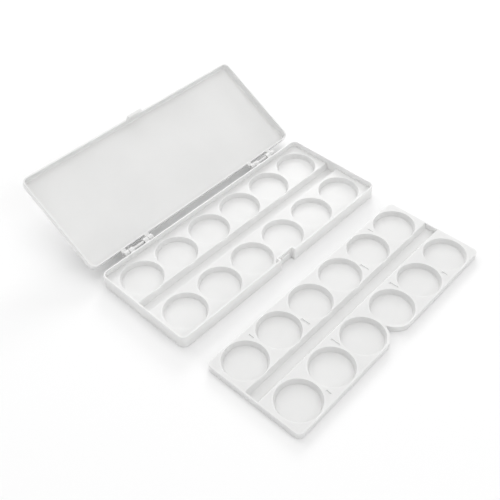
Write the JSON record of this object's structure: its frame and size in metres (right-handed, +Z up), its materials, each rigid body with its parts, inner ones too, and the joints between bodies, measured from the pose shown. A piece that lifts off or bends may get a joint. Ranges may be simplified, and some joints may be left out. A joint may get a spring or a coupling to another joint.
{
  "type": "mixing palette",
  "caption": "Flat plastic paint palette: a base with rows of round wells and a brush channel, a shallow hinged mixing lid, and a lift-out tray of wells.",
  "frame": {"origin": "on the table, under the middle of the base, on the flat underside of the brush channel", "axes": "+Z up from the table, +Y from the loose tray in front towards the hinges and the open lid, +X along the rows of wells to the right"},
  "size_m": [0.201, 0.2557, 0.0542],
  "materials": {
    "base_shell": "satin, opaque white moulded plastic",
    "lid_shell": "satin, opaque white moulded plastic",
    "tray_shell": "satin, opaque white moulded plastic",
    "pin": "smooth white plastic rod"
  },
  "bodies": {
    "base": {"base": "base_shell", "hinge_pin_left": "pin", "hinge_pin_right": "pin"},
    "lid": {"lid": "lid_shell"},
    "tray": {"tray": "tray_shell"}
  },
  "joints": [
    {"name": "lid_hinge", "type": "hinge", "parent": "base", "child": "lid", "pos_m": [0, 0.043, 0.0096], "axis": [1, 0, 0], "range_deg": [0, 151]},
    {"name": "tray_lift", "type": "slide", "parent": "base", "child": "tray", "axis": [0, 0, 1], "range_m": [0, 0.06]}
  ]
}
